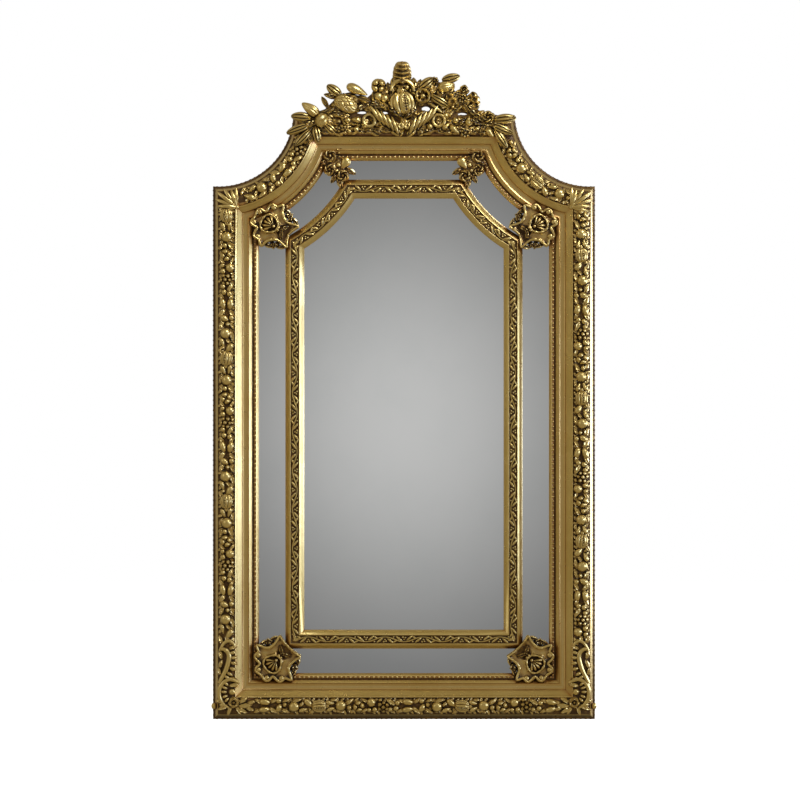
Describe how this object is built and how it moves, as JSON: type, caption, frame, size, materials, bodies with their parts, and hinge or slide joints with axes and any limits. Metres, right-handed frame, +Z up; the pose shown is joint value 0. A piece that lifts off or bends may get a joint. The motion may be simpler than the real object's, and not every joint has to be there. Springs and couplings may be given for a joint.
{
  "type": "wall mirror",
  "caption": "Tall gilt wall mirror with hollow shoulders, a carved fruit garland, a border of narrow mirror plates, cast corner ornaments and a fruit and leaf crest.",
  "frame": {"origin": "on the wall plane, at the middle of the back face of the top rail, where the mirror is fixed", "axes": "+X to the right seen from the front, +Y into the wall, +Z up; the glass faces -Y"},
  "size_m": [1, 0.09, 1.716],
  "materials": {
    "gilt_frame": "antique gold leaf over carved wood, dark glaze in the recesses",
    "gilt_slip": "antique gold leaf over a carved slip moulding",
    "gilt_crest": "antique gold leaf over pierced carving, dark glaze in the recesses",
    "gilt_ornament": "antique gold leaf over moulded ornament, dark glaze in the recesses",
    "mirror_glass": "plain silvered plate",
    "back_board": "bare brown fibre board"
  },
  "bodies": {
    "root": {"outer_frame": "gilt_frame", "inner_frame": "gilt_slip", "crest": "gilt_crest", "cartouche_foot_left": "gilt_ornament", "cartouche_foot_right": "gilt_ornament", "cartouche_shoulder_left": "gilt_ornament", "cartouche_shoulder_right": "gilt_ornament", "flower_spray_left": "gilt_ornament", "flower_spray_right": "gilt_ornament", "glass_centre": "mirror_glass", "glass_foot": "mirror_glass", "glass_right": "mirror_glass", "glass_shoulder_right": "mirror_glass", "glass_top": "mirror_glass", "glass_shoulder_left": "mirror_glass", "glass_left": "mirror_glass", "back_board": "back_board"}
  },
  "joints": []
}
